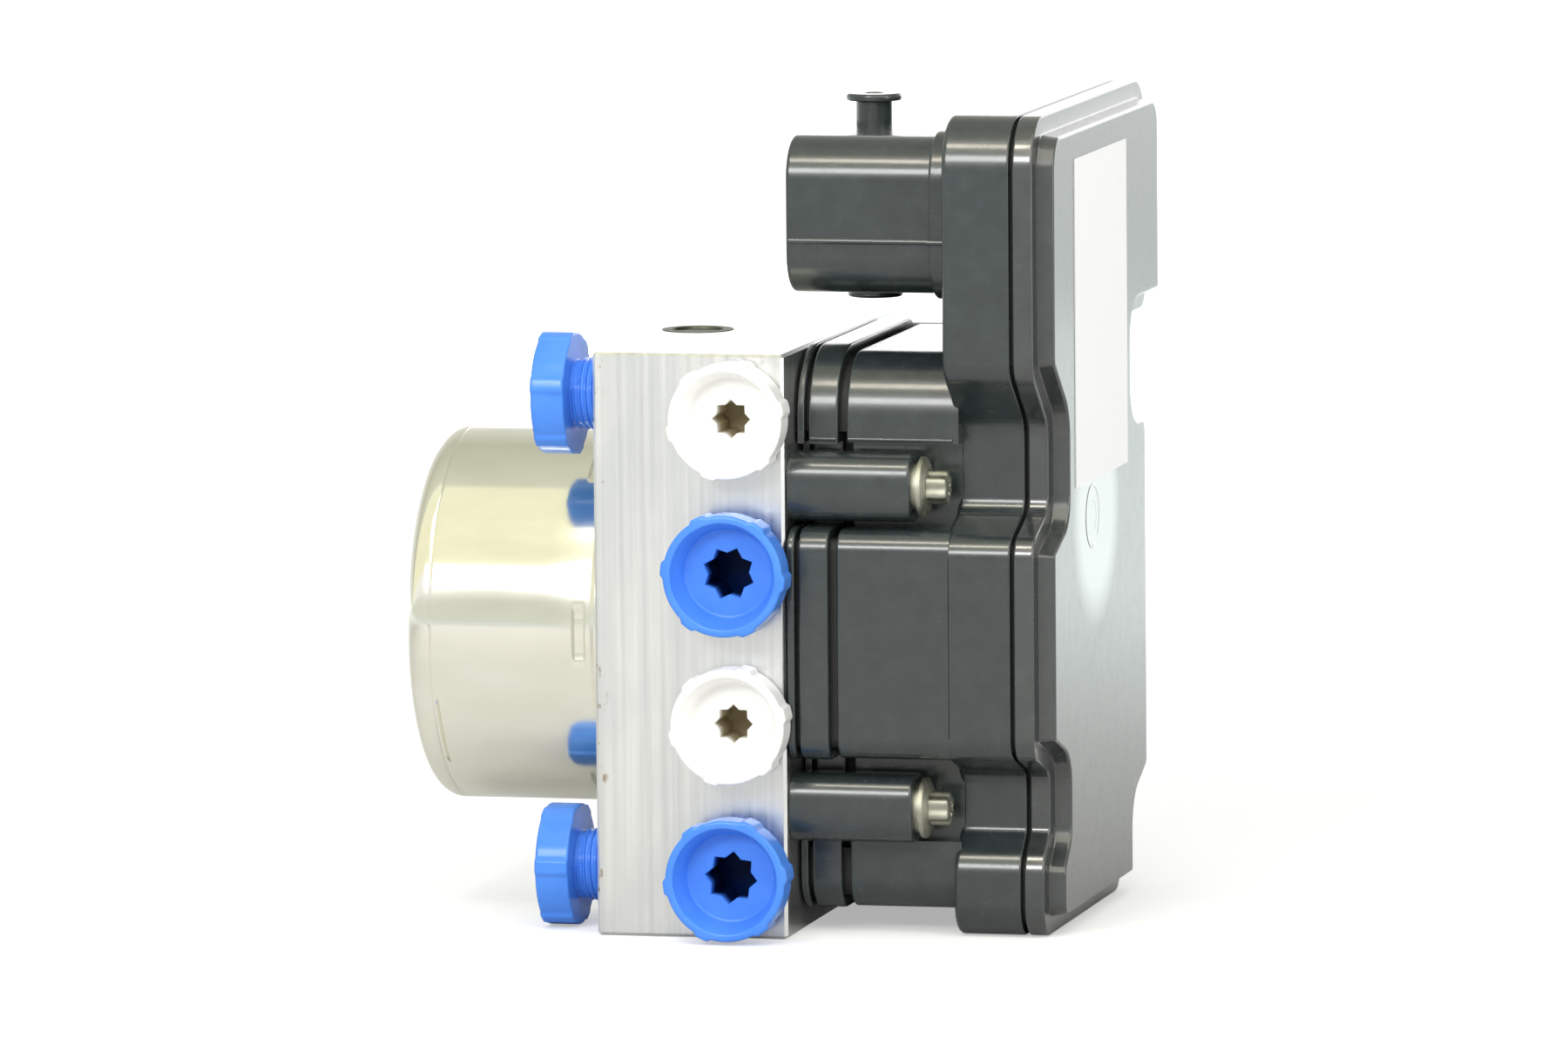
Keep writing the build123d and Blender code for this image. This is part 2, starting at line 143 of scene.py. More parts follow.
def share_between(tree, value, low, high):
    """How far a value has come from one number to another, from 0 to 1."""
    node = tree.nodes.new("ShaderNodeMapRange")
    node.inputs["From Min"].default_value = low
    node.inputs["From Max"].default_value = high
    tree.links.new(value, node.inputs["Value"])
    return node.outputs["Result"]


def object_axes(tree):
    """The object coordinates' X, Y and Z in metres."""
    split = tree.nodes.new("ShaderNodeSeparateXYZ")
    tree.links.new(texture_place(tree, (1.0, 1.0, 1.0)), split.inputs["Vector"])
    return split.outputs


def surface(name, stops, scale, roughness, metallic=0.0, relief=0.0, relief_scale=None, ior=1.5, hollow=None,
            coat=0.0):
    """A procedural material: colour and roughness vary with one noise, relief with another."""
    material, tree, shader = shader_nodes(name)
    grain = noise(tree, scale)
    colour = ramp(tree, grain, stops)
    # Painted shade: a plug's socket is coloured darker and reflects less the deeper it goes
    if hollow:
        attribute = tree.nodes.new("ShaderNodeAttribute")
        attribute.attribute_name = HOLLOW
        depth = attribute.outputs["Fac"]
        colour = mixed(tree, depth, colour, hollow)
        level = shader.inputs["Specular IOR Level"]
        level.default_value = PLUG_GLOSS
        tree.links.new(ramp(tree, depth, [(0.0, PLUG_GLOSS), (0.6, HOLLOW_GLOSS)]), level)
    tree.links.new(colour, shader.inputs["Base Color"])
    shader.inputs["IOR"].default_value = ior
    shader.inputs["Coat Weight"].default_value = coat
    shader.inputs["Coat Roughness"].default_value = COAT_ROUGHNESS
    low, high = roughness
    tree.links.new(ramp(tree, grain, [(0.3, low), (0.7, high)]), shader.inputs["Roughness"])
    shader.inputs["Metallic"].default_value = metallic
    if relief:
        bump(tree, shader, noise(tree, relief_scale, 2.0), relief)
    return material


def milled_aluminium():
    """Light milled faces: streaks along Z, darker clouds, and specks down the port face's motor edge."""
    material, tree, shader = shader_nodes("milled_aluminium")
    streaks = noise(tree, (1100.0, 1100.0, 14.0), 4.0)
    clouds = noise(tree, (90.0, 90.0, 45.0), 3.0)
    tone = ramp(tree, streaks, [(0.25, (0.68, 0.69, 0.70)), (0.75, (0.83, 0.83, 0.81))])
    tone = mixed(tree, ramp(tree, clouds, [(0.42, 0.0), (0.62, 0.35)]), tone, (0.60, 0.62, 0.65))
    axes = object_axes(tree)
    near_edge = share_between(tree, axes["X"], *(x * MM for x in SPECKS_FROM_X))
    on_face = share_between(tree, axes["Y"], *(y * MM for y in SPECKS_FROM_Y))
    corner = calculated(tree, "MULTIPLY", near_edge, on_face)
    specks = ramp(tree, noise(tree, (520.0, 520.0, 330.0), 2.0), [(0.64, 0.0), (0.70, 1.0)])
    tone = mixed(tree, calculated(tree, "MULTIPLY", corner, specks), tone, (0.42, 0.34, 0.26))
    tree.links.new(tone, shader.inputs["Base Color"])
    tree.links.new(ramp(tree, streaks, [(0.3, 0.27), (0.7, 0.37)]), shader.inputs["Roughness"])
    shader.inputs["Metallic"].default_value = 1.0
    bump(tree, shader, noise(tree, (2600.0, 2600.0, 60.0), 2.0), 0.02)
    return material


def plated_can():
    """Passivated plating: bright along the wall, dulled by the staking at its foot."""
    material, tree, shader = shader_nodes("plated_can")
    grain = noise(tree, (60.0, 160.0, 160.0))
    colour = ramp(tree, grain, [(0.3, (0.84, 0.83, 0.73)), (0.7, (0.90, 0.89, 0.80))])
    tree.links.new(colour, shader.inputs["Base Color"])
    dulled = [MOTOR_FACE * MM - reach * MM for reach in CAN_FOOT_REACH]
    foot = share_between(tree, object_axes(tree)["X"], *dulled)
    wall = ramp(tree, grain, [(0.3, 0.07), (0.7, 0.11)])
    tree.links.new(mixed(tree, foot, wall, (0.17, 0.17, 0.17)), shader.inputs["Roughness"])
    shader.inputs["Metallic"].default_value = 1.0
    bump(tree, shader, noise(tree, (45.0, 45.0, 30.0), 2.0), 0.03)
    return material


def cover_moulding():
    """The cover's plastic, with a smoother, coated patch round the gate that it was filled through, whose
    pale colour is a painted highlight.
    """
    material, tree, shader = shader_nodes("cover_moulding")
    grain = noise(tree, (320.0, 320.0, 320.0))
    (centre_y, centre_z), (size_y, size_z) = GLINT_PATCH_CENTRE, GLINT_PATCH_SIZE
    centre = texture_place(tree, (1.0, 1 / (size_y * MM), 1 / (size_z * MM)))
    centre.node.inputs["Location"].default_value = (0, -centre_y / size_y, -centre_z / size_z)
    reach = tree.nodes.new("ShaderNodeTexGradient")
    reach.gradient_type = "SPHERICAL"
    tree.links.new(centre, reach.inputs["Vector"])
    gloss_and_painted_glint = ramp(tree, reach.outputs["Fac"], [(0.0, 0.0), (0.34, 1.0)])
    colour = ramp(tree, grain, [(0.3, (0.026, 0.031, 0.032)), (0.7, (0.036, 0.042, 0.043))])
    # Painted highlight: the patch's pale colour stands in for a glint on the cover
    tree.links.new(mixed(tree, gloss_and_painted_glint, colour, (0.17, 0.18, 0.18)), shader.inputs["Base Color"])
    roughness = ramp(tree, grain, [(0.3, 0.23), (0.7, 0.28)])
    tree.links.new(mixed(tree, gloss_and_painted_glint, roughness, (0.14, 0.14, 0.14)), shader.inputs["Roughness"])
    tree.links.new(ramp(tree, gloss_and_painted_glint, [(0.0, 0.55), (1.0, 1.0)]), shader.inputs["Coat Weight"])
    shader.inputs["Coat Roughness"].default_value = 0.10
    shader.inputs["Coat IOR"].default_value = 1.7
    shader.inputs["IOR"].default_value = MOULDING_IOR
    bump(tree, shader, noise(tree, (2600.0, 2600.0, 2600.0), 2.0), 0.003)
    return material


ALUMINIUM = milled_aluminium()
CAN_METAL = plated_can()
BLACK_PLASTIC = surface("black_moulding", [(0.3, (0.022, 0.030, 0.031)), (0.7, (0.030, 0.040, 0.041))],
                        (320.0, 320.0, 320.0), (0.24, 0.28), relief=0.003,
                        relief_scale=(3200.0, 3200.0, 3200.0), ior=MOULDING_IOR, coat=0.35)
COVER_PLASTIC = cover_moulding()
STAKED_STEEL = surface("staked_closure", [(0.3, (0.07, 0.075, 0.06)), (0.7, (0.16, 0.16, 0.13))],
                       (900.0, 900.0, 900.0), (0.45, 0.6), metallic=1.0)
# Dark rubber for the seals, also laid as painted shade on the floors of the coil box's grooves
SEAL_RUBBER_AND_SHADE = surface("seal_rubber_and_shade", [(0.3, (0.012, 0.013, 0.012)), (0.7, (0.02, 0.021, 0.02))],
                 (700.0, 700.0, 700.0), (0.6, 0.75))
SCREW_METAL = surface("plated_screw", [(0.3, (0.34, 0.34, 0.29)), (0.7, (0.46, 0.46, 0.39))],
                      (500.0, 500.0, 500.0), (0.44, 0.56), metallic=1.0, relief=0.03,
                      relief_scale=(900.0, 900.0, 900.0))
TINNED_BRASS = surface("tinned_contacts", [(0.3, (0.66, 0.60, 0.44)), (0.7, (0.82, 0.78, 0.64))],
                       (400.0, 400.0, 400.0), (0.25, 0.35), metallic=1.0)
LABEL_PAPER = surface("blank_label", [(0.3, (0.93, 0.935, 0.94)), (0.7, (0.96, 0.965, 0.97))],
                      (500.0, 500.0, 500.0), (0.45, 0.55), relief=0.004,
                      relief_scale=(1800.0, 1800.0, 1800.0))
# The hollow colours are painted shade, laid deep in the plugs' sockets
BLUE_PLASTIC = surface("blue_plug", [(0.3, (0.070, 0.255, 0.86)), (0.7, (0.090, 0.295, 0.93))],
                       (160.0, 160.0, 160.0), (0.17, 0.23), relief=0.006, relief_scale=(700.0, 700.0, 700.0),
                       hollow=(0.0, 0.012, 0.075))
WHITE_PLASTIC = surface("white_plug", [(0.3, (0.94, 0.94, 0.92)), (0.7, (0.97, 0.97, 0.96))],
                        (160.0, 160.0, 160.0), (0.20, 0.27), relief=0.006, relief_scale=(700.0, 700.0, 700.0),
                        hollow=(0.52, 0.45, 0.30))


# Mesh building

def filleted(corners, closed=True, steps=7):
    """Points along (x, y, radius) corners; a radius of 0 keeps the corner."""
    points = []
    for index, (x, y, radius) in enumerate(corners):
        corner = Vector((x, y))
        at_end = not closed and index in (0, len(corners) - 1)
        if radius <= 0 or at_end:
            points.append(corner)
            continue
        before = (Vector(corners[index - 1][:2]) - corner).normalized()
        after = (Vector(corners[(index + 1) % len(corners)][:2]) - corner).normalized()
        half = before.angle(after) / 2
        centre = corner + (before + after).normalized() * radius / math.sin(half)
        start = corner + before * radius / math.tan(half) - centre
        end = corner + after * radius / math.tan(half) - centre
        sweep = start.angle_signed(end)
        for step in range(steps + 1):
            turn = Matrix.Rotation(-sweep * step / steps, 2)
            points.append(centre + turn @ start)
    return points


def inset_corners(corners, inset):
    """A clockwise outline's corners moved inwards, with their radii kept concentric."""
    moved = []
    for index, (x, y, radius) in enumerate(corners):
        here = Vector((x, y))
        before = (here - Vector(corners[index - 1][:2])).normalized()
        after = (Vector(corners[(index + 1) % len(corners)][:2]) - here).normalized()
        in_before = Vector((before.y, -before.x))
        in_after = Vector((after.y, -after.x))
        shift = (in_before + in_after) / (1 + in_before.dot(in_after)) * inset
        convex = before.x * after.y - before.y * after.x < 0
        smaller = radius - inset if convex else radius + inset
        moved.append((x + shift.x, y + shift.y, max(smaller, 0.25) if radius > 0 else 0))
    return moved


def mesh_piece(name, vertices, faces, material, body, slot, replaced=(), sharp=38.0):
    """A piece from millimetre vertices, with outward faces and weighted shading."""
    shape = bmesh.new()
    made = [shape.verts.new(Vector(vertex) * MM) for vertex in vertices]
    for face in faces:
        shape.faces.new([made[index] for index in face])
    bmesh.ops.recalc_face_normals(shape, faces=shape.faces)
    mesh = bpy.data.meshes.new(name)
    shape.to_mesh(mesh)
    shape.free()
    for polygon in mesh.polygons:
        polygon.use_smooth = True
    mesh.set_sharp_from_angle(angle=math.radians(sharp))
    mesh.materials.append(material)
    piece = bpy.data.objects.new(name, mesh)
    bpy.context.scene.collection.objects.link(piece)
    weighted = piece.modifiers.new("weighted_normals", "WEIGHTED_NORMAL")
    weighted.keep_sharp = True
    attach(piece, body)
    if replaced:
        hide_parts(*replaced)
    return piece


def lofted(rings):
    """Vertices and faces through rings with equal numbers of points, closed at both ends."""
    count = len(rings[0])
    vertices = [point for ring in rings for point in ring]
    faces = []
    for level in range(len(rings) - 1):
        low, high = level * count, (level + 1) * count
        for index in range(count):
            after = (index + 1) % count
            faces.append((low + index, low + after, high + after, high + index))
    faces.append(tuple(range(count)))
    faces.append(tuple(range(len(vertices) - count, len(vertices))))
    return vertices, faces


def joined(*parts):
    """Several (vertices, faces) pairs as one."""
    vertices, faces = [], []
    for more_vertices, more_faces in parts:
        base = len(vertices)
        vertices.extend(more_vertices)
        faces.extend(tuple(base + index for index in face) for face in more_faces)
    return vertices, faces


def placed(part, origin, direction):
    """A part made along +Z, put at an origin along a direction; its x axis goes up or to the control side."""
    side = TO_CONTROL if abs(direction.z) > 0 else UP
    across = direction.cross(side)
    turn = Matrix((side, across, direction)).transposed()
    vertices, faces = part
    return [Vector(origin) + turn @ Vector(vertex) for vertex in vertices], faces


def slab(corners, stations):
    """An outline on the YZ plane, drawn through (x, inset) stations."""
    rings = []
    for x, inset in stations:
        outline = filleted(inset_corners(corners, inset))
        rings.append([(x, point.x, point.y) for point in outline])
    return lofted(rings)


def rounded_stations(start, end, start_round, end_round, steps=4):
    """Stations of a slab with rounded rims; a rim of 0 stays square."""
    stations = []
    if start_round > 0:
        for step in range(steps + 1):
            angle = math.pi / 2 * step / steps
            along, inset = start_round * (1 - math.cos(angle)), start_round * (1 - math.sin(angle))
            stations.append((start + along, inset))
    else:
        stations.append((start, 0.0))
    if end_round > 0:
        for step in range(steps + 1):
            angle = math.pi / 2 * step / steps
            along, inset = end_round * (1 - math.sin(angle)), end_round * (1 - math.cos(angle))
            stations.append((end - along, inset))
    else:
        stations.append((end, 0.0))
    return stations


def turned(profile, segments=96, steps=5):
    """A piece turned about +Z, from (radius, height, fillet) corners that start and end on the axis."""
    points = filleted(profile, closed=False, steps=steps)[1:-1]
    rings = []
    for radius, height in points:
        ring = []
        for index in range(segments):
            angle = 2 * math.pi * index / segments
            ring.append((radius * math.cos(angle), radius * math.sin(angle), height))
        rings.append(ring)
    return lofted(rings)


# Pump motor can

MOTOR_Z = 48.4
CAN_RADIUS = 31.2
CAN_LENGTH = 34.7
CAN_END_ROUND = 3.5
DIMPLE_PLACE = 5.0
DIMPLE_HALF_LENGTH = 1.15
DIMPLE_HALF_ANGLE = 8.0
DIMPLE_DEPTH = 0.55
DIMPLE_COUNT = 6
DIMPLE_SIDE_ANGLE = 1.2
DIMPLE_END_LENGTH = 0.35
FLANGE_RISE = 0.5
GROOVE_DEPTH = 0.12
GATHER_RADIUS = 11.0
GATHER_DEPTH = 0.7
NICK_PLACE = 29.6
NICK_ANGLES = (-138.0, -111.0)
NICK_DEPTH = 0.4


def can_dent(angle, height):
    """How far the can's wall is pressed in at a place, by the staked dimples above its foot."""
    spacing = 360 / DIMPLE_COUNT
    off = abs(math.degrees(angle) % spacing - spacing / 2)
    across = min(max((DIMPLE_HALF_ANGLE - off) / DIMPLE_SIDE_ANGLE, 0), 1)
    along = min(max((DIMPLE_HALF_LENGTH - abs(height - DIMPLE_PLACE)) / DIMPLE_END_LENGTH, 0), 1)
    nicked = NICK_ANGLES[0] < math.degrees(angle) < NICK_ANGLES[1] and abs(height - NICK_PLACE) < 0.1
    return max(DIMPLE_DEPTH * across * along, NICK_DEPTH * nicked)


def motor_can():
    """The drawn can: a flange at its foot, rings close enough to carry the dimples, and its rolled end."""
    flange = CAN_RADIUS + FLANGE_RISE
    roll = CAN_LENGTH - CAN_END_ROUND
    gather = CAN_LENGTH - GATHER_DEPTH
    profile = [(0, 0, 0), (flange, 0, 0), (flange, 2.3, 0.4), (CAN_RADIUS, 3.0, 0.4)]
    profile += [(CAN_RADIUS, 3.3 + 0.14 * step, 0) for step in range(25)]
    profile += [(CAN_RADIUS, NICK_PLACE + off, 0) for off in (-0.25, 0.0, 0.25)]
    profile += [(CAN_RADIUS, roll - 1.0, 0), (CAN_RADIUS - GROOVE_DEPTH, roll - 0.8, 0),
                (CAN_RADIUS, roll - 0.6, 0), (CAN_RADIUS, CAN_LENGTH, CAN_END_ROUND),
                (GATHER_RADIUS, CAN_LENGTH, 0.4), (GATHER_RADIUS - 0.6, gather, 0.4), (0, gather, 0)]
    vertices, faces = turned(profile, segments=240, steps=10)
    dented = []
    for x, y, height in vertices:
        angle = math.atan2(y, x)
        radius = math.hypot(x, y)
        radius -= can_dent(angle, height) if radius > CAN_RADIUS - 1 else 0
        dented.append((radius * math.cos(angle), radius * math.sin(angle), height))
    part = placed((dented, faces), (MOTOR_FACE, 0, MOTOR_Z), TO_MOTOR)
    mesh_piece("motor_shell", *part, CAN_METAL, "module", "can", ["motor_can"], sharp=50.0)


# Closures of the pump bores

PUMP_X = MOTOR_FACE + 8.2
CLOSURE_RADIUS = 5.97
CLOSURE_SET = 0.5
CLOSURE_RIM = 0.12
CLOSURE_DISH = 0.3


def pump_closures():
    """Discs staked into the pump bores' mouths: the upper one's rim is proud, the lower one stays inside."""
    disc = turned([(0, -CLOSURE_SET, 0), (CLOSURE_RADIUS, -CLOSURE_SET, 0),
                   (CLOSURE_RADIUS, CLOSURE_RIM, 0.1), (4.3, CLOSURE_RIM, 0.1), (4.1, -CLOSURE_DISH, 0.1),
                   (0, -CLOSURE_DISH, 0)])
    both = [placed(disc, (PUMP_X, 0, BLOCK_TOP), UP), placed(disc, (PUMP_X, 0, CLOSURE_SET), DOWN)]
    mesh_piece("pump_closures", *joined(*both), STAKED_STEEL, "module", "block")


# Transit plugs

PLUG_SAMPLES = 192
THREAD_PITCH = 1.0
LUG_COUNT = 6
LUG_HALF_ANGLE = 7.4
LUG_FLANK_ANGLE = 1.9
LUG_RISE = 0.45
STAR_POINTS = 8
STAR_TO_LUG = 13.0
PLUG_HEAD = 5.6
PLUG_DISH = 4.9
STAR_DEPTH = 8.5
PLUG_ENGAGED = 8.0
THREAD_DEPTH = 0.5
THREAD_SLACK = 0.05
# SOCKET_SHADE: depth in mm at which the painted shade in a socket is at its full strength
SOCKET_SHADE = 3.0
LARGE_THREAD = 12.0
SMALL_THREAD = 10.0
LARGE_STANDOFF = 3.1
SMALL_STANDOFF = 0.6
INLET_STANDOFF = 5.5
WHEEL_PORT_X = CONTROL_FACE - 8.5
INLET_PORT_Y = PORT_FACE + 12.0


def lug_rise(angle):
    """How far the head's wall stands proud at an angle, in degrees from a lug's middle."""
    spacing = 360 / LUG_COUNT
    off = abs((angle + spacing / 2) % spacing - spacing / 2)
    return LUG_RISE * min(max((LUG_HALF_ANGLE + LUG_FLANK_ANGLE / 2 - off) / LUG_FLANK_ANGLE, 0), 1)


def star_radius(angle, tip, root):
    """The socket's outline: straight flanks from a tip to a root, in degrees from a tip."""
    spacing = 360 / STAR_POINTS
    off = abs((angle + spacing / 2) % spacing - spacing / 2)
    half = math.radians(spacing / 2)
    turn = math.radians(off)
    return tip * root * math.sin(half) / (tip * math.sin(turn) + root * math.sin(half - turn))


def helix(radius, depth, low, high, samples=72):
    """A thread's ridges from one height to another, round a core."""
    turns = int((high - low) / THREAD_PITCH)
    across = [(0.0, -depth), (0.3, -depth * 0.9), (0.5, 0.0), (0.65, 0.0), (0.9, -depth * 0.9), (1.0, -depth)]
    width = len(across)
    vertices, faces = [], []
    for step in range((turns - 1) * samples + 1):
        angle = 2 * math.pi * step / samples
        base = low + THREAD_PITCH * step / samples
        for share, drop in across:
            reach = radius + drop
            vertices.append((reach * math.cos(angle), reach * math.sin(angle), base + THREAD_PITCH * share))
    for step in range((turns - 1) * samples):
        for column in range(width - 1):
            first = step * width + column
            faces.append((first, first + 1, first + width + 1, first + width))
    faces.append(tuple(range(width)))
    faces.append(tuple(range(len(vertices) - width, len(vertices))))
    return vertices, faces


def plug_rings(profile, standoff):
    """Rings of equal samples along a (radius, height) profile, with the lugs on the head's wall."""
    head = max(radius for radius, _ in profile)
    rings = []
    for radius, height in profile:
        near_wall = min(max((radius - head + 0.9) / 0.5, 0), 1) if height > standoff - 0.01 else 0
        ring = []
        for index in range(PLUG_SAMPLES):
            angle = 360 * index / PLUG_SAMPLES - STAR_TO_LUG
            ring.append((angle, radius + near_wall * lug_rise(angle), height))
        rings.append(ring)
    return rings


def plug_body(thread, head, rim, floor_radius, tip, root, standoff):
    """One moulding: the neck's core, the lugged head, its dish, and the star socket down the middle."""
    core = thread / 2 - THREAD_SLACK - THREAD_DEPTH
    top = standoff + PLUG_HEAD
    floor = top - PLUG_DISH
    profile = filleted([(core - 1, -PLUG_ENGAGED, 0), (core, -PLUG_ENGAGED, 0.4), (core, standoff, 0.3),
                        (head, standoff, 0.35), (head, top, 0.55), (rim, top, 0.35),
                        (floor_radius, floor, 0.6), (tip + 0.3, floor, 0)], closed=False, steps=4)
    rings = plug_rings([tuple(point) for point in profile], standoff)
    socket = ((0.0, 0.14), (0.14, 0.0), (1.5, 0.0), (SOCKET_SHADE, 0.0), (STAR_DEPTH, -0.1))
    for depth, grow in socket:
        ring = []
        for index in range(PLUG_SAMPLES):
            angle = 360 * index / PLUG_SAMPLES - STAR_TO_LUG
            ring.append((angle, star_radius(angle + STAR_TO_LUG, tip, root) + grow, floor - depth))
        rings.append(ring)
    turned_rings = []
    for ring in rings:
        points = [(math.radians(angle), reach, height) for angle, reach, height in ring]
        turned_rings.append([(reach * math.cos(angle), reach * math.sin(angle), height)
                             for angle, reach, height in points])
    return lofted(turned_rings)


def transit_plug(name, centre, direction, large, standoff, turn):
    """A plug and its thread, with painted shade down its socket, as two pieces on one body."""
    head, rim, floor_radius = (10.0, 8.75, 7.3) if large else (9.5, 8.2, 6.8)
    tip, root = (4.35, 3.4) if large else (3.2, 2.5)
    material, slot = (BLUE_PLASTIC, "plug_blue") if large else (WHITE_PLASTIC, "plug_white")
    thread = LARGE_THREAD if large else SMALL_THREAD
    spin = Matrix.Rotation(math.radians(turn - 90), 3, "Z")
    body = plug_body(thread, head, rim, floor_radius, tip, root, standoff)
    ridges = helix(thread / 2 - THREAD_SLACK, THREAD_DEPTH, -PLUG_ENGAGED + 0.3, standoff)
    for part_name, (vertices, faces) in (("body", body), ("thread", ridges)):
        part = placed(([spin @ Vector(vertex) for vertex in vertices], faces), centre, direction)
        piece = mesh_piece(f"{name}_{part_name}", *part, material, name, slot, [name], sharp=42.0)
        # Painted shade: 0 at the dish's floor, rising to 1 at SOCKET_SHADE deeper in the socket
        shade = piece.data.attributes.new(HOLLOW, "FLOAT", "POINT")
        for index, (x, y, height) in enumerate(vertices):
            drop = standoff + PLUG_HEAD - PLUG_DISH - height
            inside = part_name == "body" and math.hypot(x, y) < tip + 0.2
            shade.data[index].value = min(max(drop / SOCKET_SHADE, 0), 1) if inside else 0


def transit_plugs():
    """Four plugs in the wheel ports, as (height, large, turn), and two in the inlet ports."""
    wheel = ((10.5, True, 7.0), (35.5, False, 13.0), (60.5, True, -6.0), (85.5, False, 13.0))
    for index, (height, large, turn) in enumerate(wheel):
        standoff = LARGE_STANDOFF if large else SMALL_STANDOFF
        centre = (WHEEL_PORT_X, PORT_FACE, height)
        transit_plug(f"wheel_plug_{index + 1}", centre, TO_PORTS, large, standoff, turn)
    for name, height, turn in (("lower", 10.0, 4.0), ("upper", BLOCK_TOP - 8.0, 13.0)):
        centre = (MOTOR_FACE, INLET_PORT_Y, height)
        transit_plug(f"inlet_plug_{name}", centre, TO_MOTOR, True, INLET_STANDOFF, turn)


# Control unit

FRONT_SCREW_Y = PORT_FACE + 7.0
FRONT_SCREWS_Z = (21.3, 74.0)
REAR_SCREW_Y = REAR_FACE - 6.5
REAR_SCREWS_Z = (9.0, 88.9)
BOSS_RADIUS = 5.7
BOSS_END = 21.4
POCKET_FLOOR = PORT_FACE + 12.2
BOX_UPPER_Y = PORT_FACE + 8.3
BOX_LOWER_Y = PORT_FACE + 8.8
BOX_TOP = 95.2
BAND_TOP = 95.9
BOX_BOTTOM = 4.0
MIDDLE_BOTTOM = FRONT_SCREWS_Z[0] + BOSS_RADIUS + 2.7
MIDDLE_TOP = FRONT_SCREWS_Z[1] - BOSS_RADIUS - 1.0
LOWER_POCKET_FLOOR = FRONT_SCREWS_Z[0] - BOSS_RADIUS - 0.1
UPPER_POCKET_TOP = FRONT_SCREWS_Z[1] + BOSS_RADIUS + 1.3
REAR_WALL_Y = REAR_FACE - 0.5
REAR_POCKET_Y = REAR_SCREW_Y - BOSS_RADIUS - 2.0
PLATE_FRONT_Y = PORT_FACE + 0.6
PLATE_TOP = 134.8
PLATE_POCKET_Y = REAR_SCREW_Y - 5.0
PLATE_START = CONTROL_FACE + 26.3
PLATE_END = CONTROL_FACE + 37.3
SHROUD = ((-30.0, 28.0), (104.8, 130.6))
SHROUD_ROUND = 7.0
SHROUD_MOUTH = CONTROL_FACE - 1.8
SHROUD_RIDGE = (113.3, 114.3)
SHROUD_WALL = 2.2
SQUARENESS = 3.0  # 2 is a circle and more is squarer
FOOT_RISE = 0.3  # how far the rim and band stand out from the coil box
# SEAL_INSET: how far in the rubber core sits, a seal at the block and painted shade at the grooves' floors
SEAL_INSET = 1.6
COVER_SEAL_INSET = 1.5
SLEEVE_RADIUS = 4.1
LEVER_STEM_RADIUS = 2.95
LEVER_HEAD_RADIUS = 4.55
COLLAR_RISE = 0.9


def box_corners(top, top_round):
    """The coil box from behind, clockwise from its top front corner."""
    return [
        (BOX_UPPER_Y, top, top_round), (REAR_POCKET_Y, top, 3),
        (REAR_POCKET_Y, REAR_SCREWS_Z[1] - 7.5, 0), (REAR_WALL_Y, REAR_SCREWS_Z[1] - 7.5, 3.5),
        (REAR_WALL_Y, REAR_SCREWS_Z[0] + 7.5, 3.5), (REAR_POCKET_Y, REAR_SCREWS_Z[0] + 7.5, 0),
        (REAR_POCKET_Y, BOX_BOTTOM, 4), (BOX_LOWER_Y, BOX_BOTTOM, 5),
        (BOX_LOWER_Y, LOWER_POCKET_FLOOR, 0), (POCKET_FLOOR, LOWER_POCKET_FLOOR, 0),
        (POCKET_FLOOR, MIDDLE_BOTTOM, 0), (PORT_FACE, MIDDLE_BOTTOM, 3.5),
        (PORT_FACE, MIDDLE_TOP, 3.5), (POCKET_FLOOR, MIDDLE_TOP, 0),
        (POCKET_FLOOR, UPPER_POCKET_TOP, 0), (BOX_UPPER_Y, UPPER_POCKET_TOP, 0)]


PLATE_CORNERS = [
    (PLATE_FRONT_Y, PLATE_TOP, 8.5), (51.9, PLATE_TOP, 8),
    (51.9, 95.9, 4), (PLATE_POCKET_Y, 95.9, 3),
    (PLATE_POCKET_Y, 82.0, 3), (40.4, 82.0, 6),
    (40.4, 17.8, 5), (PLATE_POCKET_Y, 13.3, 4),
    (PLATE_POCKET_Y, 0.0, 4), (PORT_FACE + 7.0, 0.0, 5.5),
    (PORT_FACE + 7.0, 12.7, 5.5), (POCKET_FLOOR, 17.1, 2),
    (POCKET_FLOOR, MIDDLE_BOTTOM - 3, 3), (PORT_FACE, MIDDLE_BOTTOM + 1, 4),
    (PORT_FACE, MIDDLE_TOP - 1.3, 4), (POCKET_FLOOR, MIDDLE_TOP + 2.7, 3),
    (POCKET_FLOOR, UPPER_POCKET_TOP + 3.0, 5), (PLATE_FRONT_Y, UPPER_POCKET_TOP + 12.0, 5)]


def box_between(low, high):
    """A plain bar's vertices and faces."""
    corners = [(low[1], high[2], 0.5), (high[1], high[2], 0.5), (high[1], low[2], 0.5), (low[1], low[2], 0.5)]
    return slab(corners, rounded_stations(low[0], high[0], 0, 0.4))


def bead(start, end, face, height):
    """A thin round-edged ridge along X, proud of a front face."""
    low, high = height - 0.35, height + 0.35
    corners = [(face, high, 0.3), (face + 1.0, high, 0), (face + 1.0, low, 0), (face, low, 0.3)]
    return slab(corners, [(start, 0.0), (end, 0.0)])


def grown(corners, amount):
    return inset_corners(corners, -amount)


def shroud_corners(grow=0.0):
    (low_y, high_y), (low_z, high_z) = SHROUD
    radius = SHROUD_ROUND + grow
    return [(low_y - grow, high_z + grow, radius), (high_y + grow, high_z + grow, radius),
            (high_y + grow, low_z - grow, radius), (low_y - grow, low_z - grow, radius)]


def housing_piece(name, part):
    mesh_piece(name, *part, BLACK_PLASTIC, "module", "housing", ["ecu_housing"])


